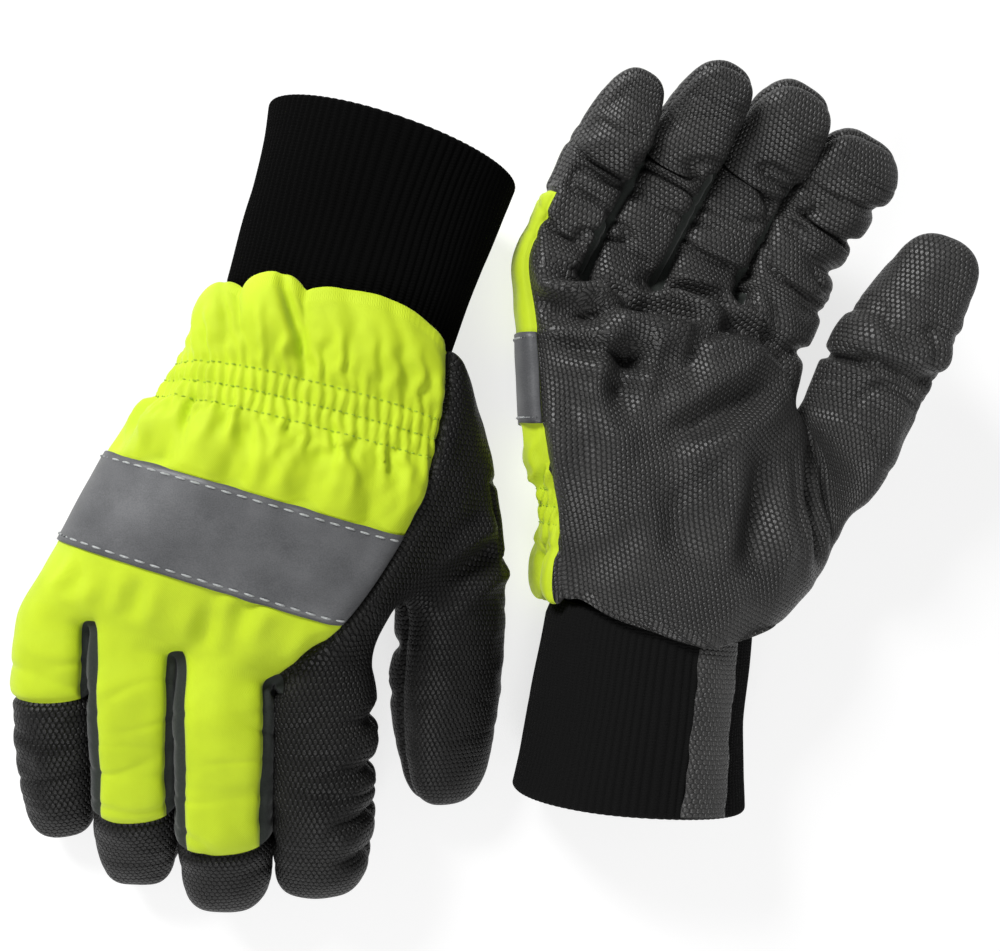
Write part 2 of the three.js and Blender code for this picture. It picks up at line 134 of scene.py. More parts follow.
# Rings of a stitch: (share of its length, share of its radius).
STITCH_RINGS = ((0.0, 0.35), (0.18, 0.85), (0.5, 1.0), (0.82, 0.85), (1.0, 0.35))
# Levels of the layers above the skin's surface: bottom and top.
TAPE_BOTTOM, TAPE_TOP = 0.05, 0.7
ELASTIC_LEVELS = (-2.3, -1.6)
LINING_LEVELS = (-4.0, -3.0)
LINING_END = 4.25           # the row where it ends, a quarter of the way from the last section to the forks
HAND_PANELS = ("back_panel", "side_panel", "palm_panel")
LEVELS = 4


# ---- Materials ----

class Nodes:
    """A short way to write a material's node tree."""

    def __init__(self, name, **settings):
        self.material = bpy.data.materials.new(name)
        self.material.use_nodes = True
        self.tree = self.material.node_tree
        self.shader = self.tree.nodes["Principled BSDF"]
        for socket, value in settings.items():
            self.shader.inputs[socket.replace("_", " ")].default_value = value

    def add(self, kind, inputs=None, **settings):
        node = self.tree.nodes.new(kind)
        for key, value in settings.items():
            setattr(node, key, value)
        for key, value in (inputs or {}).items():
            self.link(value, node.inputs[key])
        return node

    def link(self, value, socket):
        if isinstance(value, (int, float, tuple)):
            socket.default_value = value
        else:
            self.tree.links.new(value, socket)

    def math(self, operation, a, b=0.0, c=0.0):
        return self.add("ShaderNodeMath", {0: a, 1: b, 2: c}, operation=operation).outputs[0]

    def cloth(self):
        """The fabric's own coordinates in millimetres: round the glove, and along it."""
        attribute = self.add("ShaderNodeAttribute", attribute_name="cloth")
        split = self.add("ShaderNodeSeparateXYZ", {0: attribute.outputs["Vector"]})
        return attribute.outputs["Vector"], split.outputs["X"], split.outputs["Y"]

    def noise(self, vector, scale, detail=3.0):
        node = self.add("ShaderNodeTexNoise", {"Vector": vector, "Scale": scale, "Detail": detail})
        return node.outputs["Fac"]

    def ramp(self, value, low, high, start=0.0, end=1.0):
        node = self.add("ShaderNodeMapRange", {"Value": value, "From Min": start, "From Max": end,
                                               "To Min": low, "To Max": high})
        return node.outputs["Result"]

    def mix(self, factor, a, b):
        node = self.add("ShaderNodeMix", data_type="RGBA")
        self.link(factor, node.inputs["Factor"])
        self.link(a, node.inputs["A"])
        self.link(b, node.inputs["B"])
        return node.outputs["Result"]

    def finish(self, colour=None, height=None, distance=0.0004, strength=1.0, roughness=None):
        if colour is not None:
            self.link(colour, self.shader.inputs["Base Color"])
        if roughness is not None:
            self.link(roughness, self.shader.inputs["Roughness"])
        if height is not None:
            settings = {"Height": height, "Distance": distance, "Strength": strength}
            bump = self.add("ShaderNodeBump", settings)
            self.link(bump.outputs["Normal"], self.shader.inputs["Normal"])
        return self.material


def bright_material():
    """Fluorescent yellow-green woven polyester."""
    n = Nodes("bright_fabric", Roughness=0.72, Sheen_Weight=0.15, Sheen_Roughness=0.4)
    vector, u, v = n.cloth()
    thread = 2 * math.pi / WEAVE
    weave = n.math("MULTIPLY", n.math("SINE", n.math("MULTIPLY", u, thread)),
                   n.math("SINE", n.math("MULTIPLY", v, thread)))
    patches = n.noise(vector, 0.06)
    colour = n.mix(n.ramp(patches, 0.0, 1.0, 0.3, 0.7), (0.505, 0.66, 0.006, 1), (0.59, 0.765, 0.010, 1))
    height = n.math("ADD", n.math("MULTIPLY", weave, 0.5), n.noise(vector, 0.9))
    return n.finish(colour, height, distance=0.00012, strength=0.6)


def scale_height(n, u, v):
    """Low domes on a lattice of six-sided cells: 1 on a dome, 0 in the grooves between them."""
    across, along = CELL, CELL * math.sqrt(3)

    def distance(shift):
        parts = []
        for value, pitch in ((u, across), (v, along)):
            cell = n.math("FRACT", n.math("ADD", n.math("DIVIDE", value, pitch), shift))
            parts.append(n.math("MULTIPLY", n.math("SUBTRACT", cell, 0.5), pitch))
        squares = [n.math("MULTIPLY", part, part) for part in parts]
        return n.math("SQRT", n.math("ADD", *squares))
    nearest = n.math("MINIMUM", distance(0.0), distance(0.5))
    return n.ramp(nearest, 1.0, 0.0, CELL * 0.30, CELL * 0.56)


def textured_material(name, tone):
    """Black coated fabric embossed with small scales, paler where it is rubbed, with painted shade in the
    grooves between the scales.
    """
    # Painted light and shade: tone, set per glove, scales the gloss here and the colours below.
    n = Nodes(name, Specular_IOR_Level=0.45 * tone)
    vector, u, v = n.cloth()
    wobble = n.math("MULTIPLY", n.math("SUBTRACT", n.noise(vector, 0.35), 0.5), 0.6)
    dome = scale_height(n, n.math("ADD", u, wobble), n.math("ADD", v, wobble))
    wear = n.ramp(n.noise(vector, 0.045), 0.0, 1.0, 0.35, 0.7)
    dull = [value * tone for value in (0.012, 0.0117, 0.0113)]
    worn = [value * tone for value in (0.027, 0.0262, 0.0252)]
    top = n.mix(wear, (*dull, 1), (*worn, 1))
    # Painted shade: the grooves between the scales are near black, far darker than the scale tops.
    colour = n.mix(dome, (0.0018, 0.0018, 0.0018, 1), top)
    grain = n.math("MULTIPLY", n.noise(vector, 3.0, 4.0), 0.25)
    rough = n.ramp(dome, 0.66, 0.43)
    return n.finish(colour, n.math("ADD", dome, grain), distance=0.00055, strength=0.9, roughness=rough)


def tape_material():
    """Grey reflective tape, faintly mottled."""
    n = Nodes("reflective_tape", Roughness=0.5, Metallic=0.25)
    vector, _, _ = n.cloth()
    fine = n.math("MULTIPLY", n.noise(vector, 2.2, 5.0), 0.5)
    mottle = n.math("ADD", fine, n.math("MULTIPLY", n.noise(vector, 0.08), 0.5))
    colour = n.mix(n.ramp(mottle, 0.0, 1.0, 0.35, 0.65), (0.085, 0.087, 0.092, 1), (0.150, 0.152, 0.158, 1))
    return n.finish(colour, n.noise(vector, 3.0), distance=0.0001, strength=0.3)


def plain_material(name, colour, roughness=0.9):
    """Speckled fabric or thread of one colour."""
    n = Nodes(name, Roughness=roughness, Sheen_Weight=0.15)
    vector, _, _ = n.cloth()
    speckle = n.noise(vector, 1.6, 4.0)
    dark = [0.6 * value for value in colour]
    mixed = n.mix(n.ramp(speckle, 0.0, 1.0, 0.3, 0.7), (*dark, 1), (*colour, 1))
    return n.finish(mixed, speckle, distance=0.0002)


def knit_material(name, tone):
    """Black knitting: rows of slanted loops under a light fuzz."""
    # Painted light and shade: tone, set per glove, scales the gloss here and the colours below.
    n = Nodes(name, Roughness=0.95, Specular_IOR_Level=0.15 * tone)
    vector, u, v = n.cloth()
    slant = n.math("MULTIPLY", n.math("ABSOLUTE", n.math("SINE", u)), 2.0)
    stitches = n.math("SINE", n.math("ADD", n.math("MULTIPLY", v, 2 * math.pi / KNIT_ROW), slant))
    fuzz = n.noise(vector, 4.0, 4.0)
    low, high = [0.0022 * tone] * 3, [0.0087 * tone] * 3
    colour = n.mix(n.ramp(fuzz, 0.0, 1.0, 0.3, 0.75), (*low, 1), (*high, 1))
    height = n.math("ADD", n.math("MULTIPLY", stitches, 0.35), fuzz)
    return n.finish(colour, height, distance=0.0003, strength=0.7)


LOOKS = {
    "bright": bright_material(),
    "tape": tape_material(),
    "fourchette": plain_material("fourchette_fabric", (0.020, 0.026, 0.022)),
    "lining": plain_material("lining_fleece", (0.06, 0.06, 0.065)),
    "elastic": plain_material("elastic_braid", (0.6, 0.6, 0.56)),
    "thread": plain_material("tape_thread", (0.50, 0.52, 0.52), 0.7),
    "bright_thread": plain_material("shirring_thread", (0.42, 0.62, 0.01), 0.7),
}
# Each glove has its own copies of the dark fabrics, with painted light and shade in their colour and gloss:
# darker for the palm-down glove, lighter and glossier for the palm-up one.
for glove in GLOVES:
    name, tone = glove["name"], glove["palm_painted_shading"]
    LOOKS[f"{name}_textured"] = textured_material(f"{name}_textured_palm", tone)
    LOOKS[f"{name}_cuff_strip"] = textured_material(f"{name}_cuff_strip_palm", 1.25 * tone)
    LOOKS[f"{name}_knit"] = knit_material(f"{name}_rib_knit", glove["knit_painted_shading"])


# ---- The cage: one skin of four-sided faces, flat, in the glove's own frame ----

class Cage:
    """Points with their fabric coordinates (round, along, row), and faces with a label each."""

    def __init__(self):
        self.points, self.cloth, self.faces, self.labels = [], [], [], []

    def add(self, points, cloth):
        first = len(self.points)
        self.points += [tuple(p) for p in points]
        self.cloth += [tuple(c) for c in cloth]
        return list(range(first, len(self.points)))

    def face(self, corners, label):
        self.faces.append(corners)
        self.labels.append(label)

    def join(self, near, far, labels):
        count = len(near)
        for k, label in enumerate(labels):
            if label:
                after = (k + 1) % count
                self.face((near[k], far[k], far[after], near[after]), label)


def lerp(a, b, share):
    return tuple(p + (q - p) * share for p, q in zip(a, b))


def arc_lengths(points, centre_top, centre_bottom):
    """Distance round a ring from the middle of its top, or of its underside: + towards +X."""
    count = len(points)
    arcs = [0.0] * count
    for centre in (centre_top, centre_bottom):
        for step in (1, -1):
            total, k = 0.0, centre
            while abs(k - centre) < count // 4:
                here, k = points[k % count], k + step
                there = points[k % count]
                total += math.hypot(there[0] - here[0], there[2] - here[2])
                sign = 1 if there[0] > points[centre][0] else -1
                arcs[k % count] = sign * total
    arcs[centre_top] = arcs[centre_bottom] = 0.0
    return arcs


def hand_points(section):
    crown = lambda f: min(1.0, FLAT_CROWN * math.sqrt(1 - abs(f) ** EDGE_ROUNDNESS))
    seam_at = COLUMNS[SEAM_COLUMN]

    def place(f, z):
        if f >= seam_at:
            flat = lerp(section["seam"], section["little"], (f - seam_at) / (1 - seam_at))
        else:
            flat = lerp(section["index"], section["seam"], (f + 1) / (seam_at + 1))
        return (*flat, z)
    back = [place(f, section["back"] * crown(f)) for f in COLUMNS]
    palm = [place(f, -section["palm"] * crown(f)) for f in reversed(COLUMNS)]
    return back + [place(-1, -SIDE_DROP)] + palm + [place(1, -SIDE_DROP)]


def fork_points():
    """The ring where the hand opens into four fingers, and the web point in each fork."""
    outer = [finger["edges"][0] for finger in FINGERS]
    inner = [finger["edges"][1] for finger in FINGERS]
    edges = [outer[0]] + [(inner[k] + outer[k + 1]) / 2 for k in range(3)] + [inner[3]]
    across = []
    for k, finger in enumerate(FINGERS):
        across.append((edges[k], FORK_Y[k], finger["half"] * FORK_HEIGHT, finger["height"]))
        middle_y = (FORK_Y[k] + FORK_Y[k + 1]) / 2
        across.append(((edges[k] + edges[k + 1]) / 2, middle_y, finger["half"] * 1.12, finger["height"]))
    last = FINGERS[-1]
    across.append((edges[4], FORK_Y[4], last["half"] * FORK_HEIGHT, last["height"]))
    web = lambda k: (edges[k], FORK_Y[k], FINGERS[min(k, 3)]["height"])
    ring = [(x, y, height + half) for x, y, half, height in across] + [web(4)]
    ring += [(x, y, height - half) for x, y, half, height in reversed(across)] + [web(0)]
    return ring, [web(k) for k in (1, 2, 3)]


# A digit's cross-section: corner 1 is the middle of its back and corner 5 of its front.
OCTAGON = [(0.88, 0.74), (0, 1), (-0.88, 0.74), (-1, 0), (-0.94, -0.74), (0, -1), (0.94, -0.74), (1, 0)]


def unit(vector):
    vector = np.array(vector, float)
    return vector / np.linalg.norm(vector)


def finger_digit(finger):
    outer, inner = finger["edges"]
    return dict(
        name=finger["name"], root=np.array([(outer + inner) / 2, finger["knuckle"], finger["height"]]),
        along=unit((0, 1, 0)), across=unit((1, 0, 0)), root_across=unit((1, 0, 0)), up=unit((0, 0, 1)),
        half_width=(outer - inner) / 2, half=finger["half"],
        lower=finger["middle"] - finger["knuckle"], tip=finger["tip"] - finger["middle"],
    )


def thumb_digit():
    along, hinge = unit(THUMB["along"]), unit(THUMB["hinge"])
    up = unit(np.cross(hinge, along))
    return dict(
        name="thumb", root=np.array(THUMB["root"], float), along=along, across=unit(np.cross(along, up)),
        root_across=hinge, up=up, half_width=THUMB["half_width"], half=THUMB["half"],
        lower=THUMB["lower"], tip=THUMB["tip"],
    )


DIGITS = [finger_digit(finger) for finger in FINGERS] + [thumb_digit()]


# The bright fabric ends, and the cap starts, at this ring of the digit, in an arch towards the tip.
BRIGHT_UNTIL = {"little": 2, "ring": 4, "middle": 4}
CAP_ARCH = (-2.0, 3.2, -2.0)


def digit_labels(name, row):
    """The label of each of a digit's eight faces: (piece, panel, look). Rows 0 and 1 are the base."""
    piece = f"{name}_base" if row < 2 else f"{name}_tip"
    bright_until = BRIGHT_UNTIL.get(name, 0)
    is_bright = row < bright_until
    bright_faces = (0, 1, 6, 7) if name == "little" else (0, 1)
    back_panel = f"{name}_cap" if bright_until else "side"
    labels = []
    for k in range(8):
        if is_bright and k in bright_faces:
            labels.append((piece, "bright", "bright"))
        elif is_bright and k in (2, 3, 6, 7):
            labels.append((piece, "fourchette", "fourchette"))
        else:
            labels.append((piece, back_panel if k in (0, 1, 2, 7) else "palm", "textured"))
    return labels


# Rings along a digit: (share of the lower length, share of the tip length, millimetres, width, depth).
DIGIT_RINGS = [
    (0, 0, -BEND_REACH, 1.05, 1.00), (0, 0, BEND_REACH, 1.04, 1.00), (0.5, 0, 0, 1.02, 1.00),
    (1, 0, -BEND_REACH, 1.00, 0.98), (1, 0, BEND_REACH, 1.00, 0.96), (1, 0.56, 0, 0.96, 0.90),
    (1, 0.86, 0, 0.84, 0.74), (1, 0.99, 0, 0.46, 0.38),
]
THUMB_TAPER = {5: 0.93, 6: 0.82, 7: 0.8}    # the last rings of the thumb are this much narrower
THUMB_CLOTH_SHIFT = -22     # brings the thumb's fabric coordinates in line with the hand's round it


def add_digit(cage, root, digit, stub):
    previous = root
    is_thumb = digit["name"] == "thumb"
    shift = THUMB_CLOTH_SHIFT if is_thumb else 0
    for row, (lower, tip, extra, width, depth) in enumerate(DIGIT_RINGS):
        width *= THUMB_TAPER.get(row, 1) if is_thumb else 1
        distance = lower * digit["lower"] + tip * digit["tip"] + extra
        centre = digit["root"] + digit["along"] * distance
        across = digit["root_across"] if row < 2 else digit["across"]
        spread = LOOSENESS if is_thumb else TOUCHING
        points = [centre + across * (side * digit["half_width"] * width * spread)
                  + digit["up"] * (rise * digit["half"] * depth * LOOSENESS) for side, rise in OCTAGON]
        arcs = arc_lengths(points, 1, 5)
        if row - 1 == BRIGHT_UNTIL.get(digit["name"]):
            for k, arch in enumerate(CAP_ARCH):
                points[k] = points[k] + digit["along"] * arch
        cloth = [(centre[0] + shift + arc, p[1], len(SECTIONS) + row) for arc, p in zip(arcs, points)]
        ring = cage.add(points, cloth)
        cage.join(previous, ring, stub if row == 0 else digit_labels(digit["name"], row - 1))
        previous = ring
    end = digit["root"] + digit["along"] * (digit["lower"] + digit["tip"] * 1.02)
    cloth = (end[0] + shift, end[1] + digit["half"] * 0.4, len(SECTIONS) + len(DIGIT_RINGS))
    (tip_point,) = cage.add([end], [cloth])
    labels = digit_labels(digit["name"], len(DIGIT_RINGS) - 1)
    for k in (0, 2, 4, 6):
        cage.face((tip_point, previous[(k + 1) % 8], previous[k], previous[(k + 7) % 8]), labels[k])


def hand_labels(thumb_hole):
    """The label of each face between two rings of the hand, or None where the thumb comes out."""
    labels = []
    for k in range(20):
        if thumb_hole and k in (8, 9):
            labels.append(None)
        elif k < SEAM_COLUMN or k >= 18:
            labels.append(("back_panel", "bright", "bright"))
        elif k < 9:
            labels.append(("side_panel", "side", "textured"))
        else:
            labels.append(("palm_panel", "palm", "textured"))
    return labels


HEM_SHRINK = ((0.84, 9, -1), (0.93, -1, -0.5))     # (share of the opening, offset along, row)
HEM_CORNERS = dict(thumb_side=17, little_side=8, width=30)


def round_corners(points, row):
    """The wrist edge curves away towards the fingers at both sides of the hand."""
    low, high = points[:, 0].min(), points[:, 0].max()
    width = HEM_CORNERS["width"]
    thumb_side = np.clip((low + width - points[:, 0]) / width, 0, 1) ** 2
    little_side = np.clip((points[:, 0] - high + width) / width, 0, 1) ** 2
    rise = HEM_CORNERS["thumb_side"] * thumb_side + HEM_CORNERS["little_side"] * little_side
    points[:, 1] += rise * (1 if row <= 0 else 0.3)
    return points


def glove_cage():
    cage = Cage()
    fork, webs = fork_points()
    sections = [hand_points(section) for section in SECTIONS] + [fork]
    opening = np.array(sections[0])
    centre = opening.mean(axis=0)
    rows = [((opening - centre) * (share, share, share) + centre + (0, offset, 0), row)
            for share, offset, row in HEM_SHRINK]
    rows += [(np.array(points, float), row) for row, points in enumerate(sections)]
    rings = []
    for points, row in rows:
        if row <= 1:
            points = round_corners(points, row)
        arcs = arc_lengths(points, BACK_MIDDLE, PALM_MIDDLE)
        rounds = [points[BACK_MIDDLE][0] + arc for arc in arcs]
        if row == len(SECTIONS):
            rounds = [p[0] for p in points]
            rounds[9] -= FINGERS[-1]["half"] / 2
            rounds[19] += FINGERS[0]["half"] / 2
        rings.append(cage.add(points, [(around, p[1], row) for around, p in zip(rounds, points)]))
    for near, far, (_, row) in zip(rings, rings[1:], rows):
        thumb_hole = THUMB_ROWS[0] <= row < THUMB_ROWS[1]
        cage.join(near, far, hand_labels(thumb_hole))

    last = rings[-1]
    web_points = [(x, y + WEB_REACH, z) for x, y, z in webs]
    web_ids = cage.add(web_points, [(x, y - 8, len(SECTIONS)) for x, y, _ in webs])
    sides = [last[19], *web_ids, last[9]]
    for k, digit in enumerate(DIGITS[:4]):
        low = 18 - 2 * k
        root = [last[2 * k], last[2 * k + 1], last[2 * k + 2], sides[k + 1],
                last[low - 2], last[low - 1], last[low], sides[k]]
        palm = ("palm_panel", "palm", "textured")
        wall = ("palm_panel", "fourchette", "fourchette")
        stub = [wall if face in (2, 3, 6, 7) else palm for face in range(8)]
        top = ("back_panel", "bright", "bright") if k < 3 else ("side_panel", "side", "textured")
        stub[0] = stub[1] = top
        if k == 0:
            stub[6] = stub[7] = top
        if k == 3:
            stub[2] = top
            stub[3] = palm
        add_digit(cage, root, digit, stub)
    first_hand = len(HEM_SHRINK)
    spots = [(4, 8), (3, 8), (2, 8), (2, 9), (2, 10), (3, 10), (4, 10), (4, 9)]
    root = [rings[first_hand + row][column] for row, column in spots]
    stub = [("side_panel", "side", "textured") if face in (0, 1, 7) else ("palm_panel", "palm", "textured")
            for face in range(8)]
    add_digit(cage, root, DIGITS[4], stub)
    return cage


# ---- The fine skin: subdivided, then shaped as numbers ----

def read_array(source, key, width, kind=np.float32):
    """One attribute of a mesh's points, corners or faces, as rows of numbers."""
    values = np.empty(len(source) * width, kind)
    source.foreach_get(key, values)
    return values.reshape(-1, width)


class Skin:
    """The subdivided glove as arrays: its points, fabric coordinates and faces, and what each face is."""

    def __init__(self, cage):
        names = sorted(set(cage.labels))
        mesh = bpy.data.meshes.new("cage")
        mesh.from_pydata(cage.points, [], cage.faces)
        cloth = mesh.attributes.new("cloth", "FLOAT_VECTOR", "POINT")
        cloth.data.foreach_set("vector", np.array(cage.cloth, np.float32).ravel())
        for polygon, label in zip(mesh.polygons, cage.labels):
            polygon.material_index = names.index(label)
        holder = bpy.data.objects.new("cage", mesh)
        bpy.context.collection.objects.link(holder)
        for _ in names:
            mesh.materials.append(None)
        holder.modifiers.new("subdivide", "SUBSURF").levels = LEVELS
        fine = holder.evaluated_get(bpy.context.evaluated_depsgraph_get()).to_mesh()
        self.points = read_array(fine.vertices, "co", 3).astype(float)
        self.cloth = read_array(fine.attributes["cloth"].data, "vector", 3).astype(float)
        self.faces = read_array(fine.loops, "vertex_index", 1, np.int32).reshape(-1, 4)
        labels = read_array(fine.polygons, "material_index", 1, np.int32).ravel()
        bpy.data.objects.remove(holder)
        bpy.data.meshes.remove(mesh)
        self.pieces, self.panels, self.looks = (np.array(part)[labels] for part in zip(*names))

    def touching(self, faces):
        """Which points belong to any of those faces."""
        mask = np.zeros(len(self.points), bool)
        mask[self.faces[faces].ravel()] = True
        return mask

    def normals(self):
        a, b, c, d = (self.points[self.faces[:, k]] for k in range(4))
        face = np.cross(c - a, d - b)
        total = np.zeros_like(self.points)
        for k in range(4):
            np.add.at(total, self.faces[:, k], face)
        return total / np.maximum(np.linalg.norm(total, axis=1, keepdims=True), 1e-9)

    def seam_points(self):
        """The points where two panels meet."""
        first = np.full(len(self.points), -1)
        seam = np.zeros(len(self.points), bool)
        panel_ids = np.unique(self.panels, return_inverse=True)[1]
        for k in range(4):
            corner = self.faces[:, k]
            fresh = first[corner] < 0
            first[corner[fresh]] = panel_ids[fresh]
        for k in range(4):
            corner = self.faces[:, k]
            seam[corner[first[corner] != panel_ids]] = True
        return seam


def noise_field(points, scale, seed):
    shift = Vector((seed * 17.3, seed * 5.1, seed * 9.7))
    return np.array([noise.noise(Vector(p) * scale + shift) for p in points])


def bell(value, centre, width):
    return np.exp(-((value - centre) / width) ** 2)


def distance_to(points, targets):
    tree = kdtree.KDTree(len(targets))
    for k, target in enumerate(targets):
        tree.insert(target, k)
    tree.balance()
    return np.array([tree.find(p)[2] for p in points])


# ---- Folds, gathers and seams, as moves of the flat skin ----

def crease(here, mask, start, end, width, depth):
    """A soft fold pressed into the masked fabric along a line from start to end, with raised sides."""
    start, end = np.array(start, float), np.array(end, float)
    line = end - start
    share = np.clip(((here - start) @ line) / (line @ line), 0, 1)
    away = np.linalg.norm(here - start - share[:, None] * line, axis=1)
    fade = np.clip(4 * share * (1 - share) + 0.15, 0, 1)
    return mask * fade * depth * (0.55 * bell(away, 1.9 * width, 0.9 * width) - bell(away, 0, width))


def digit_members(skin, digit):
    return skin.touching(np.char.startswith(skin.pieces, digit["name"] + "_"))


def wrinkles(points, scale, seed, sharpness=0.11):
    """Meandering valleys, 1 along their floors and 0 between: finer where the scale is larger."""
    return bell(noise_field(points * scale, 1.0, seed), 0, sharpness)


def smooth_step(value):
    value = np.clip(value, 0, 1)
    return value * value * (3 - 2 * value)


# Lobes of the bright fabric above the elastic: (middle, half width) as distance round the back.
LOBES = ((46, 13), (23, 11), (-12, 25))
LOBE_HEIGHT = 6.0
LOBE_FOLDS = ((34, 1.5, 1.6), (12, 4.0, 2.0), (-8, 0.8, 3.0), (-22, 0.9, 2.5))
LOBE_REACH = 6.0            # how far a lobe leans over the knit
LOBE_ROW = 0.35             # the lobes stand highest here
LOBE_SLANT = 6              # their folds run this far sideways from one row to the next
GATHER_PITCH = 3.6
GATHER_JITTER = 1.3         # how far a pleat wanders sideways
PLEAT_HEIGHT = 0.8
ELASTIC_PULL = 2.0          # how far the elastic draws the back in
BULGE_BELOW = 1.8           # and how far the back stands out between it and the tape
STITCH_ROWS = (1.125, 1.5, 1.875)
STITCH_DEPTH = 0.6
# Slow waves of the gathered back: (pitch in gathers, reach in rows, middle row).
SLOW_WAVES = ((3.1, 0.5, 2.3), (1.9, 0.3, 2.1), (2.3, 0.35, 0.75))
UNEVENNESS = ((1.3, 0.035), (0.6, 0.10))    # (height, fineness)
SEAM_REACH = 7              # folds fade out within this distance of a seam
SEAM_DEPTH, SEAM_WIDTH = 1.25, 1.25
PUFF_HEIGHT, PUFF_AWAY, PUFF_WIDTH = 0.55, 4.5, 3.5     # of the panels beside their seams
KNUCKLE_CRUMPLES, MIDDLE_CRUMPLES = 13, 15              # how far from a bend a digit crumples

# Soft folds in the bright back, (round, along) of both ends, half width and depth in millimetres.
BACK_FOLDS = [
    ((46, 30), (62, 62), 4.5, 2.0), ((28, 38), (36, 66), 4.0, 1.8), ((8, 44), (12, 74), 4.2, 2.0),
    ((-12, 50), (-10, 78), 4.0, 1.8), ((60, 22), (84, 52), 4.5, 1.8), ((20, 40), (22, 60), 3.0, 1.4),
    ((34, 108), (24, 94), 3.2, 1.6), ((14, 122), (4, 112), 3.4, 1.8), ((66, 104), (62, 92), 3.0, 1.3),
    ((88, 98), (80, 88), 3.2, 1.3), ((46, 116), (40, 100), 3.0, 1.3), ((92, 104), (98, 128), 3.2, 1.2),
]
# Folds in the palm, the same way: the bunches at the finger bases and the long palm creases.
PALM_FOLDS = [
    ((98, 88), (62, 94), 3.4, 4.0), ((92, 99), (58, 106), 3.0, 3.6), ((66, 100), (28, 110), 3.2, 4.2),
    ((58, 113), (24, 120), 2.8, 3.4), ((30, 112), (-2, 114), 3.4, 2.6), ((84, 78), (46, 90), 4.2, 2.6),
    ((62, 84), (34, 92), 4.6, 2.4), ((56, 98), (53, 62), 4.5, 3.6), ((0, 102), (33, 58), 5.5, 4.4),
    ((-6, 74), (-18, 32), 6.5, 4.0), ((-30, 86), (-46, 46), 3.6, 3.4), ((72, 64), (50, 40), 6.0, 2.2),
    ((22, 48), (8, 26), 6.0, 1.8),
]
# The crease between the hand and the thumb, as places (x, y) on the flat glove's side.
THUMB_FOLD = ((-34, 94), (-74, 68), 4.2, 4.6)
# How far along the index finger its outer side folds in, from the knuckle.
INDEX_FOLDS = (4, 20, 35, 50)


def blouse(skin, back):
    """The bright fabric hangs over the knit in lobes, with folds between and on them."""
    round_, row = skin.cloth[:, 0], skin.cloth[:, 2]
    lobes = np.zeros(len(row))
    for middle, half_width in LOBES:
        share = (round_ - middle) / half_width
        lobes = np.maximum(lobes, np.sqrt(np.clip(1 - share ** 2, 0, 1)))
    lift = LOBE_HEIGHT * back * bell(row, LOBE_ROW, 0.55) * (lobes - 0.4)
    for place, depth, width in LOBE_FOLDS:
        across = bell(round_, place + LOBE_SLANT * (1 - row), width)
        lift -= back * depth * across * bell(row, LOBE_ROW, 0.5)
    skin.points[:, 1] -= LOBE_REACH * back * bell(row, -0.1, 0.5) * (lobes - 0.45)
    return lift


def gathers(skin, back, seed):
    """The pleats that the elastic pulls in, and the slower waves that run out of them."""
    round_, along, row = skin.cloth.T
    jitter = GATHER_JITTER * noise_field(np.column_stack([round_, along, row * 0]), 0.16, seed)
    wave = np.sin(2 * math.pi * (round_ + jitter) / GATHER_PITCH)
    lift = back * bell(row, sum(ELASTIC_ROWS) / 2, 0.6) * (PLEAT_HEIGHT * wave - ELASTIC_PULL)
    for stitch_row in STITCH_ROWS:
        lift -= back * STITCH_DEPTH * bell(row, stitch_row, 0.06)
    for pitches, reach, start in SLOW_WAVES:
        slow = np.sin(2 * math.pi * (round_ + 3 * jitter) / (pitches * GATHER_PITCH) + start)
        lift += back * slow * bell(row, start, reach)
    return lift + back * BULGE_BELOW * bell(row, 2.5, 0.4)


def palm_bunches(skin, palm, seed):
    """The palm bunches up in sharp crumples at the finger roots, and is softly uneven elsewhere."""
    round_, along = skin.cloth[:, 0], skin.cloth[:, 1]
    at_roots = palm * bell(along, 112 - 0.2 * round_, 16)
    sharp = wrinkles(skin.points, (0.034, 0.062, 0.03), seed, 0.17)
    soft = noise_field(skin.points * (0.7, 1.0, 0.6), 0.036, seed + 1)
    return at_roots * (2.0 - 4.2 * sharp) + 4.0 * palm * soft


def digit_crumples(skin, normals, crumpled, seed):
    """Digits crumple across where they bend, deepest on the palm side."""
    textured = skin.touching(skin.looks == "textured")
    on_digit = smooth_step(skin.cloth[:, 2] - len(SECTIONS))
    front = np.clip(-normals[:, 2], 0, 1)
    folds = wrinkles(skin.points, (0.035, 0.11, 0.04), seed, 0.14)
    lift = np.zeros(len(folds))
    for digit in DIGITS:
        member = digit_members(skin, digit) * on_digit
        travel = (skin.points - digit["root"]) @ digit["along"]
        near_bend = np.maximum(bell(travel, 0, KNUCKLE_CRUMPLES),
                               bell(travel, digit["lower"], MIDDLE_CRUMPLES))
        calm = 0.5 if digit["name"] == "thumb" else 1
        depth = calm * np.where(textured, 0.7 + 2.2 * crumpled * front, 0.6)
        lift += member * depth * (0.15 + near_bend) * (0.35 - folds)
        if digit["name"] == "index":
            flank = smooth_step(0.9 * (digit["root"][0] - skin.points[:, 0]) / digit["half_width"])
            for place in INDEX_FOLDS:
                lift += member * flank * (bell(travel, place + 7, 5) - 2.8 * bell(travel, place, 2.4))
    return lift


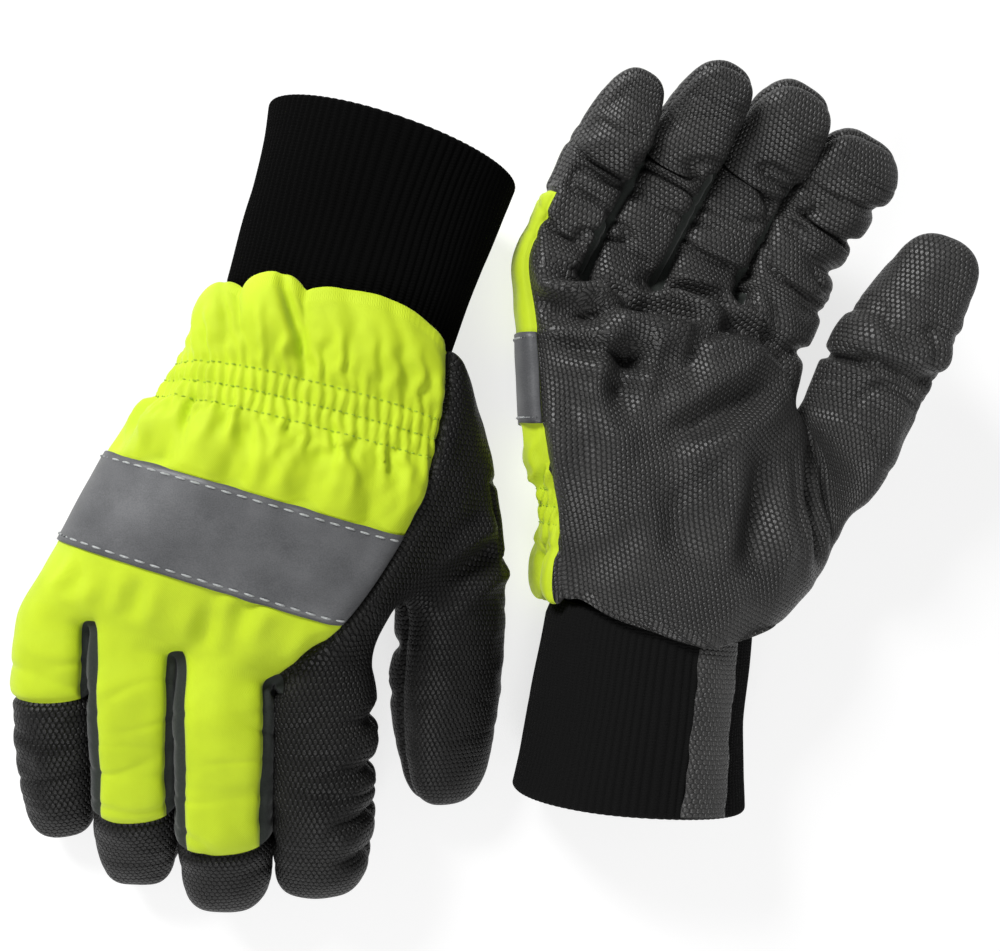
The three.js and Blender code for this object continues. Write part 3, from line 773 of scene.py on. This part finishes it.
def shape_skin(skin, seed, crumpled):
    """Moves the fine skin's points along its normals: puffed panels, folds, gathers and seams."""
    row = skin.cloth[:, 2]
    normals = skin.normals()
    apart = distance_to(skin.points, skin.points[skin.seam_points()])
    inside = smooth_step(apart / SEAM_REACH)
    on_hand = 1 - smooth_step(2 * (row - len(SECTIONS)) + 1)
    back = skin.touching(skin.pieces == "back_panel") * on_hand
    palm = skin.touching(skin.panels == "palm") * inside
    side = skin.touching(skin.panels == "side") & (skin.points[:, 0] < 0)
    on_tape = (row > TAPE_ROWS[0] - 0.02) & (row < TAPE_ROWS[1] + 0.02)
    lift = np.zeros(len(row))

    # Loose fabric is never quite even, though the tape keeps it calmer.
    calm = np.where((back > 0) & on_tape, 0.4, 1)
    for step, (height, fineness) in enumerate(UNEVENNESS):
        lift += calm * height * noise_field(skin.points, fineness, seed + step)

    upright = smooth_step(2.5 * normals[:, 2])
    lift += blouse(skin, back)
    lift += gathers(skin, back, seed + 2)
    for fold in BACK_FOLDS:
        lift += crease(skin.cloth[:, :2], back * ~on_tape, *fold)
    for fold in PALM_FOLDS:
        lift += crumpled * crease(skin.cloth[:, :2], palm, *fold)
    lift += crease(skin.points[:, :2], side * inside * upright, *THUMB_FOLD)
    lift += crumpled * palm_bunches(skin, palm, seed + 5)
    lift += digit_crumples(skin, normals, crumpled, seed + 3)

    # Panels puff between their seams, and the seams pull in.
    lift += PUFF_HEIGHT * bell(apart, PUFF_AWAY, PUFF_WIDTH) - SEAM_DEPTH * bell(apart, 0, SEAM_WIDTH)
    skin.points += lift[:, None] * normals


RELAX_ROUNDS = 260
RELAX_STEP = 1.7            # below 2, where the springs would start to shake


def relax_cloth(skin):
    """Evens the textured panels' fabric coordinates out, so that no embossed scale is drawn out.

    Each side and diagonal of a face is a spring that wants its real length in the fabric coordinates.
    """
    quads = skin.faces[skin.looks == "textured"]
    sides_and_diagonals = ([0, 1], [1, 2], [2, 3], [3, 0], [0, 2], [1, 3])
    pairs = np.concatenate([quads[:, corners] for corners in sides_and_diagonals])
    a, b = np.unique(np.sort(pairs, axis=1), axis=0).T
    lengths = np.linalg.norm(skin.points[a] - skin.points[b], axis=1)
    count = len(skin.points)
    springs = np.maximum(np.bincount(a, minlength=count) + np.bincount(b, minlength=count), 1)
    free = RELAX_STEP * ~skin.touching(skin.looks != "textured") / springs
    flat = skin.cloth[:, :2].copy()
    for _ in range(RELAX_ROUNDS):
        # The pull is limited, so that no spring jumps past its length at the start.
        gap = flat[b] - flat[a]
        pull = 0.5 * np.clip(1 - lengths / np.maximum(np.hypot(*gap.T), 0.05), -1.5, 1)
        for axis in (0, 1):
            move = gap[:, axis] * pull
            flat[:, axis] += free * (np.bincount(a, move, count) - np.bincount(b, move, count))
    skin.cloth[:, :2] = flat


# ---- Curling the digits and setting the glove down ----

def rotate(points, pivot, axis, angles):
    """Turns each point about its own angle in radians."""
    offset = points - pivot
    cos, sin = np.cos(angles)[:, None], np.sin(angles)[:, None]
    along = (offset @ axis)[:, None] * axis
    return pivot + along + (offset - along) * cos + np.cross(axis, offset) * sin


def curl_skin(skin, glove):
    axis = np.array([-1.0, 0, 0])
    for digit, knuckle, middle in zip(DIGITS, glove["knuckle"], glove["middle"]):
        member = digit_members(skin, digit)
        points = skin.points[member]
        travel = (points - digit["root"]) @ digit["along"]
        tip_share = smooth_step((travel - digit["lower"] + BEND_REACH) / (2 * BEND_REACH))
        base_share = smooth_step((travel + BEND_REACH) / (2 * BEND_REACH))
        joint = digit["root"] + digit["along"] * digit["lower"]
        points = rotate(points, joint, axis, tip_share * math.radians(middle))
        skin.points[member] = rotate(points, digit["root"], axis, base_share * math.radians(knuckle))


def glove_matrix(glove):
    turn = glove["roll"] + (180 if glove["palm_up"] else 0)
    matrix = Matrix.Translation(Vector(glove["place"]))
    matrix @= Matrix.Rotation(math.radians(glove["yaw"]), 4, "Z")
    matrix @= Matrix.Rotation(math.radians(glove["pitch"]), 4, "X")
    return matrix @ Matrix.Rotation(math.radians(turn), 4, "Y")


def to_world(points, glove):
    """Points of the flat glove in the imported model's frame, in metres."""
    matrix = np.array(glove_matrix(glove))
    return (points @ matrix[:3, :3].T + matrix[:3, 3]) * MM


def lay_down(points, glove):
    """As to_world, with what would sink into the table pressed flat on it."""
    world = to_world(points, glove)
    soft = 0.0015
    height = (world[:, 2] - cad_low.z) / soft
    world[:, 2] = cad_low.z + soft * np.where(height > 30, height, np.log1p(np.exp(np.minimum(height, 30))))
    return world


# ---- Pieces ----

def new_piece(name, points, cloth, faces, looks, look_ids=None):
    mesh = bpy.data.meshes.new(name)
    mesh.from_pydata(points.tolist(), [], faces.tolist() if hasattr(faces, "tolist") else faces)
    attribute = mesh.attributes.new("cloth", "FLOAT_VECTOR", "POINT")
    attribute.data.foreach_set("vector", np.asarray(cloth, np.float32).ravel())
    for look in looks:
        own = f"{name.split('_')[0]}_{look}"
        mesh.materials.append(LOOKS[own if own in LOOKS else look])
    if look_ids is not None:
        mesh.polygons.foreach_set("material_index", look_ids)
    mesh.polygons.foreach_set("use_smooth", [True] * len(mesh.polygons))
    piece = bpy.data.objects.new(name, mesh)
    bpy.context.collection.objects.link(piece)
    return piece


def cut_out(skin, faces):
    """The chosen faces with their own points: (old point numbers, faces in new numbers)."""
    used, numbers = np.unique(skin.faces[faces], return_inverse=True)
    return used, numbers.reshape(-1, 4)


def skin_piece(skin, glove, name, faces):
    used, numbers = cut_out(skin, faces)
    looks = sorted(set(skin.looks[faces]))
    ids = np.searchsorted(looks, skin.looks[faces]).astype(np.int32)
    points = lay_down(skin.points[used], glove)
    return new_piece(f"{glove['name']}_{name}", points, skin.cloth[used], numbers, looks, ids)


def layer_piece(name, glove, points, normals, cloth, faces, bottom, top, look):
    """A closed strip of fabric that lies on other fabric, from bottom to top above it."""
    count = len(points)
    solid = np.concatenate([points + normals * top, points + normals * bottom])
    quads = [tuple(face) for face in faces] + [tuple(face[::-1] + count) for face in faces]
    edges = {}
    for face in faces:
        for a, b in zip(face, np.roll(face, -1)):
            edges[(int(a), int(b))] = True
    for a, b in edges:
        if (b, a) not in edges:
            quads.append((a, a + count, b + count, b))
    cloth = np.concatenate([cloth, cloth])
    return new_piece(f"{glove['name']}_{name}", lay_down(solid, glove), cloth, quads, [look])


def skin_layer(skin, normals, glove, name, chosen, levels, look):
    """A layer over or under the chosen faces of the skin, between two levels above it."""
    used, numbers = cut_out(skin, chosen)
    points, cloth = skin.points[used], skin.cloth[used]
    return layer_piece(name, glove, points, normals[used], cloth, numbers, *levels, look)


def dashes(name, glove, path, normals, look):
    """A run of stitches: short rounded threads along a path on the fabric."""
    pitch, length, radius = STITCHES[look]
    path, normals = np.array(path), np.array(normals)
    steps = np.linalg.norm(np.diff(path, axis=0), axis=1)
    reach = np.concatenate([[0], np.cumsum(steps)])

    def sample(values, at):
        return np.array([np.interp(at, reach, values[:, axis]) for axis in range(3)])
    sides, rings = STITCH_SIDES, STITCH_RINGS
    points, faces = [], []
    for start in np.arange(pitch * 0.3, reach[-1] - length, pitch):
        first = len(points)
        for share, width in rings:
            at = start + share * length
            centre, up = sample(path, at), unit(sample(normals, at))
            side = unit(np.cross(sample(path, at + 0.5) - centre, up))
            centre = centre + up * (radius * (0.9 * math.sin(math.pi * share) - 0.15))
            for k in range(sides):
                turn = 2 * math.pi * k / sides
                points.append(centre + radius * width * (math.cos(turn) * side + math.sin(turn) * up))
        for ring in range(len(rings) - 1):
            for k in range(sides):
                a = first + ring * sides + k
                b = first + ring * sides + (k + 1) % sides
                faces.append((a, b, b + sides, a + sides))
        last = first + (len(rings) - 1) * sides
        faces.append(tuple(range(first + sides - 1, first - 1, -1)))
        faces.append(tuple(range(last, last + sides)))
    points = np.array(points)
    return new_piece(f"{glove['name']}_{name}", to_world(points, glove), points, faces, [look])


def line_on(skin, normals, mask, row):
    """Points of the skin along one row, from the little-finger side to the index side."""
    chosen = np.flatnonzero(mask & (np.abs(skin.cloth[:, 2] - row) < 1e-3))
    order = chosen[np.argsort(-skin.cloth[chosen, 0])]
    return skin.points[order], normals[order]


# ---- The knitted wrist ----

def cuff_section(travel, angle, shrink=0.0):
    """A point on the knit's outer surface, at a distance along the wrist and an angle round it."""
    ys, widths, heights = np.array(CUFF_PROFILE[::-1], float).T
    width = np.interp(travel, ys, widths) - shrink
    height = np.interp(travel, ys, heights) - shrink
    squared = lambda value: np.sign(value) * np.abs(value) ** CUFF_SQUARENESS
    return width * squared(np.cos(angle)), height * squared(np.sin(angle))


def lean_over(x, y, z):
    """Turns the straight knit to the way it lies, in the plane of the hand."""
    lean = math.radians(CUFF_LEAN)
    return np.column_stack([x * math.cos(lean) + y * math.sin(lean),
                            -x * math.sin(lean) + y * math.cos(lean), z])


def cuff_points(rows, seed):
    """The grid of points for those rows, its fabric coordinates, and how many points go round.

    The ribs are shallower on the inside, and the knit sways a little towards its hem.
    """
    around = RIB_COUNT * POINTS_PER_RIB
    angle = np.linspace(0, 2 * math.pi, around, endpoint=False)
    points, cloth = [], []
    for travel, depth in rows:
        x, z = cuff_section(travel, angle, depth)
        ribs = RIB_DEPTH * (np.abs(np.cos(angle * RIB_COUNT / 2)) - 0.6) * (1 if depth < 2 else 0.4)
        sway = 0.9 * np.sin(3 * angle + seed + travel * 0.06) * smooth_step((-travel - 4) / 30)
        length = np.hypot(x, z)
        x, z = x * (1 + (ribs + sway) / length), z * (1 + (ribs + sway) / length)
        y = travel + 0.5 * np.sin(2 * angle + seed) * smooth_step((-travel - 30) / 30) + 0 * x
        points.append(lean_over(x, y, z))
        cloth.append(np.column_stack([angle / (2 * math.pi) * KNIT_AROUND, y, np.full(around, depth)]))
    return np.array(points), np.array(cloth), around


def cuff_rows():
    """Down the outside, round the hem and back up the inside: (distance along, depth inside)."""
    hem = CUFF_PROFILE[-1][0]
    rows = [(travel, 0.0) for travel in np.linspace(CUFF_PROFILE[0][0], hem, 40)]
    for turn in np.linspace(0, math.pi, 9)[1:]:
        depth = CUFF_THICKNESS / 2 * (1 - math.cos(turn))
        rows.append((hem - 2.0 * math.sin(turn), depth))
    return rows + [(travel, CUFF_THICKNESS) for travel in np.linspace(hem + 2, CUFF_PROFILE[0][0], 14)]


def build_cuff(glove, seed):
    grid, cloth, around = cuff_points(cuff_rows(), seed)
    count = len(grid)
    faces = []
    for row in range(count):
        here, below = row * around, (row + 1) % count * around
        for k in range(around):
            after = (k + 1) % around
            faces.append((here + k, here + after, below + after, below + k))
    name = f"{glove['name']}_rib_cuff"
    piece = new_piece(name, lay_down(grid.reshape(-1, 3), glove), cloth.reshape(-1, 3), faces, ["knit"])
    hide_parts(f"{glove['name']}_knit_cuff")
    return piece


def build_cuff_strip(glove, seed):
    """The strip of palm fabric down the knit: a wandering band, puffed between its turned edges."""
    first, last = (math.radians(angle) for angle in STRIP_ANGLES)
    travels = np.linspace(1.5, CUFF_PROFILE[-1][0] - 0.8, 50)
    angles = np.linspace(first, last, 15)
    top, cloth = [], []
    for travel in travels:
        wander = 0.012 * math.sin(travel * 0.21 + seed) + 0.008 * math.sin(travel * 0.5)
        x, z = cuff_section(travel, angles + wander)
        edge = np.sin(np.linspace(0, math.pi, len(angles))) ** 0.35
        fold = 0.5 * math.sin(travel * 0.33 + seed)
        length = np.hypot(x, z)
        raised = 0.5 + 1.1 * edge + 0.3 * fold * edge
        x, z = x * (1 + raised / length), z * (1 + raised / length)
        top.append(lean_over(x, travel, z))
        round_ = angles * STRIP_RADIUS
        cloth.append(np.column_stack([round_, np.full(len(angles), travel), np.zeros(len(angles))]))
    top, cloth = np.array(top).reshape(-1, 3), np.array(cloth).reshape(-1, 3)
    columns = len(angles)
    corners = np.array([0, 1, columns + 1, columns])
    faces = np.array([corners + row * columns + column
                      for row in range(len(travels) - 1) for column in range(columns - 1)])
    a, b, d = top[faces[:, 0]], top[faces[:, 1]], top[faces[:, 3]]
    direction = np.cross(b - a, d - a)
    outward = np.zeros_like(top)
    for k in range(4):
        np.add.at(outward, faces[:, k], direction)
    outward /= np.linalg.norm(outward, axis=1, keepdims=True)
    piece = layer_piece("cuff_strip_cover", glove, top, outward, cloth, faces, -0.9, 0.0, "cuff_strip")
    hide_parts(f"{glove['name']}_cuff_strip")
    return piece


# ---- One glove ----

def along_glove(glove, digit, distance, curl=0.0):
    """A point on a digit's middle line, in metres, once the digit has curled."""
    joint = digit["root"]
    point = joint + digit["along"] * distance
    turned = rotate(point[None], joint, np.array([-1.0, 0, 0]), np.array([math.radians(curl)]))
    return to_world(turned, glove)[0]


def bend_digit(glove, digit, base, tip, knuckle, middle):
    """Bakes the placement of the digit's two pieces into their meshes."""
    pivot = along_glove(glove, digit, 0)
    ahead = along_glove(glove, digit, 1, knuckle / 2) - pivot
    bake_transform(base)
    joint = along_glove(glove, digit, digit["lower"], knuckle)
    lower_way = unit(joint - pivot) * MM
    axis = unit(to_world(np.array([[-1.0, 0, 0]]), glove)[0] - to_world(np.array([[0.0, 0, 0]]), glove)[0])
    ahead = rotate(lower_way[None], np.zeros(3), axis, np.array([math.radians(middle / 2)]))[0]
    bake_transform(tip)


def cover_hand(skin, glove):
    """The three panels of the hand."""
    name = glove["name"]
    for panel in HAND_PANELS:
        piece = skin_piece(skin, glove, f"{panel}_cover", skin.pieces == panel)
        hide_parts(f"{name}_{panel}")
        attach(piece, f"{name}_hand")


def cover_digits(skin, glove):
    """Two pieces for each digit, cut from the curled skin. The thumb lies as it is modelled."""
    name = glove["name"]
    for digit, knuckle, middle in zip(DIGITS, (*glove["knuckle"], 0), (*glove["middle"], 0)):
        side = digit["name"]
        base = skin_piece(skin, glove, f"{side}_base", skin.pieces == f"{side}_base")
        tip = skin_piece(skin, glove, f"{side}_tip", skin.pieces == f"{side}_tip")
        for piece, segment in ((base, "lower"), (tip, "upper")):
            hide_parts(f"{name}_{side}_{segment}_back", f"{name}_{side}_{segment}_front")
        bend_digit(glove, digit, base, tip, knuckle, middle)


def add_tape(skin, normals, glove, rows):
    """The reflective band, with a line of stitches along both its edges."""
    name = glove["name"]
    on_back = skin.pieces == "back_panel"
    taped = on_back & (rows > TAPE_ROWS[0]) & (rows < TAPE_ROWS[1])
    tape = skin_layer(skin, normals, glove, "tape_band", taped, (TAPE_BOTTOM, TAPE_TOP), "tape")
    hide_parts(f"{name}_reflective_tape")
    margin = 1 / 2 ** LEVELS
    for edge, row in (("upper", TAPE_ROWS[0] + margin), ("lower", TAPE_ROWS[1] - margin)):
        path, ups = line_on(skin, normals, skin.touching(on_back), row)
        stitches = dashes(f"tape_stitches_{edge}", glove, path + ups * TAPE_TOP, ups, "thread")
        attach(stitches, f"{name}_hand")
    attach(tape, f"{name}_hand")


def add_gathers(skin, normals, glove, rows):
    """The stitches across the wrist, the elastic under them, and the lining."""
    name = glove["name"]
    on_back = skin.pieces == "back_panel"
    for number, row in enumerate(STITCH_ROWS):
        path, ups = line_on(skin, normals, skin.touching(on_back), row)
        dots = dashes(f"shirring_stitches_{number + 1}", glove, path, ups, "bright_thread")
        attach(dots, f"{name}_hand")
    gathered = on_back & (rows > ELASTIC_ROWS[0]) & (rows < ELASTIC_ROWS[1])
    lined = np.isin(skin.pieces, HAND_PANELS) & (rows > 0) & (rows < LINING_END)
    for part, chosen, levels, look in (("wrist_elastic", gathered, ELASTIC_LEVELS, "elastic"),
                                       ("hand_lining", lined, LINING_LEVELS, "lining")):
        layer = skin_layer(skin, normals, glove, f"{part}_layer", chosen, levels, look)
        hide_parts(f"{name}_{part}")
        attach(layer, f"{name}_hand")


def add_wrist(glove, seed):
    """The knit and its strip, baked in place."""
    cuff = build_cuff(glove, seed)
    strip = build_cuff_strip(glove, seed)
    inner, outer = to_world(np.array([[0, WRIST_REACH, 0], [0, -WRIST_REACH, 0]]), glove)
    for piece, look in ((cuff, "knit"), (strip, "cuff_strip")):
        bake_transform(piece)


def build_glove(glove, seed):
    skin = Skin(glove_cage())
    shape_skin(skin, seed, glove["crumpled"])
    curl_skin(skin, glove)
    relax_cloth(skin)
    normals = skin.normals()
    rows = skin.cloth[:, 2][skin.faces].mean(axis=1)
    cover_hand(skin, glove)
    cover_digits(skin, glove)
    add_tape(skin, normals, glove, rows)
    add_gathers(skin, normals, glove, rows)
    add_wrist(glove, seed)


for number, glove in enumerate(GLOVES):
    build_glove(glove, seed=1 + 7 * number)


# ---- Floor, light and camera ----

WORLD_STRENGTH = 0.24
# Soft boxes: place in metres, power in watts, side in metres.
LIGHTS = (((-0.65, 0.75, 0.62), 12.5, 0.30), ((-0.25, -0.95, 0.8), 6, 0.5))


def build_stage():
    scene = bpy.context.scene
    scene.view_settings.view_transform = "Standard"
    bpy.ops.mesh.primitive_plane_add(size=30, location=(0, 0, cad_low.z - 0.0005))
    floor = bpy.context.object
    floor.name = "floor"
    paper = Nodes("paper", Base_Color=(0.4, 0.4, 0.4, 1), Roughness=0.9, Emission_Color=(1, 1, 1, 1),
                  Emission_Strength=0.72).material
    floor.data.materials.append(paper)
    # A pale wall all round, far off, that only the camera sees.
    bpy.ops.mesh.primitive_cylinder_add(vertices=96, radius=14, depth=28, end_fill_type="NOTHING")
    wall = bpy.context.object
    wall.name = "wall"
    wall.visible_diffuse = wall.visible_glossy = wall.visible_shadow = False
    wall.data.materials.append(Nodes("wall", Base_Color=(0, 0, 0, 1), Emission_Color=(1, 1, 1, 1),
                                     Emission_Strength=0.85).material)
    world = bpy.data.worlds.new("studio")
    scene.world = world
    world.use_nodes = True
    world.node_tree.nodes["Background"].inputs["Color"].default_value = (1, 1, 1, 1)
    world.node_tree.nodes["Background"].inputs["Strength"].default_value = WORLD_STRENGTH
    for place, power, size in LIGHTS:
        light = bpy.data.lights.new("softbox", "AREA")
        light.energy = power
        light.size = size
        holder = bpy.data.objects.new("softbox", light)
        holder.location = place
        holder.rotation_euler = (-Vector(place)).to_track_quat("-Z", "Y").to_euler()
        bpy.context.collection.objects.link(holder)


# Almost straight above, a little to the left: lens in millimetres, the rest in metres.
CAMERA_LENS = 40
CAMERA_TARGET = (-0.006, 0.002, 0.025)
CAMERA_AWAY = (-0.105, 0.0, 0.385)


def build_camera():
    camera = bpy.data.cameras.new("camera")
    camera.lens = CAMERA_LENS
    camera.sensor_width = 36
    holder = bpy.data.objects.new("camera", camera)
    bpy.context.collection.objects.link(holder)
    target, away = Vector(CAMERA_TARGET), Vector(CAMERA_AWAY)
    back = away.normalized()
    right = Vector((0, 1, 0)).cross(back).normalized()
    turn = Matrix((right, back.cross(right), back)).transposed()
    holder.matrix_world = Matrix.Translation(target + away) @ turn.to_4x4()
    bpy.context.scene.camera = holder


build_stage()
build_camera()
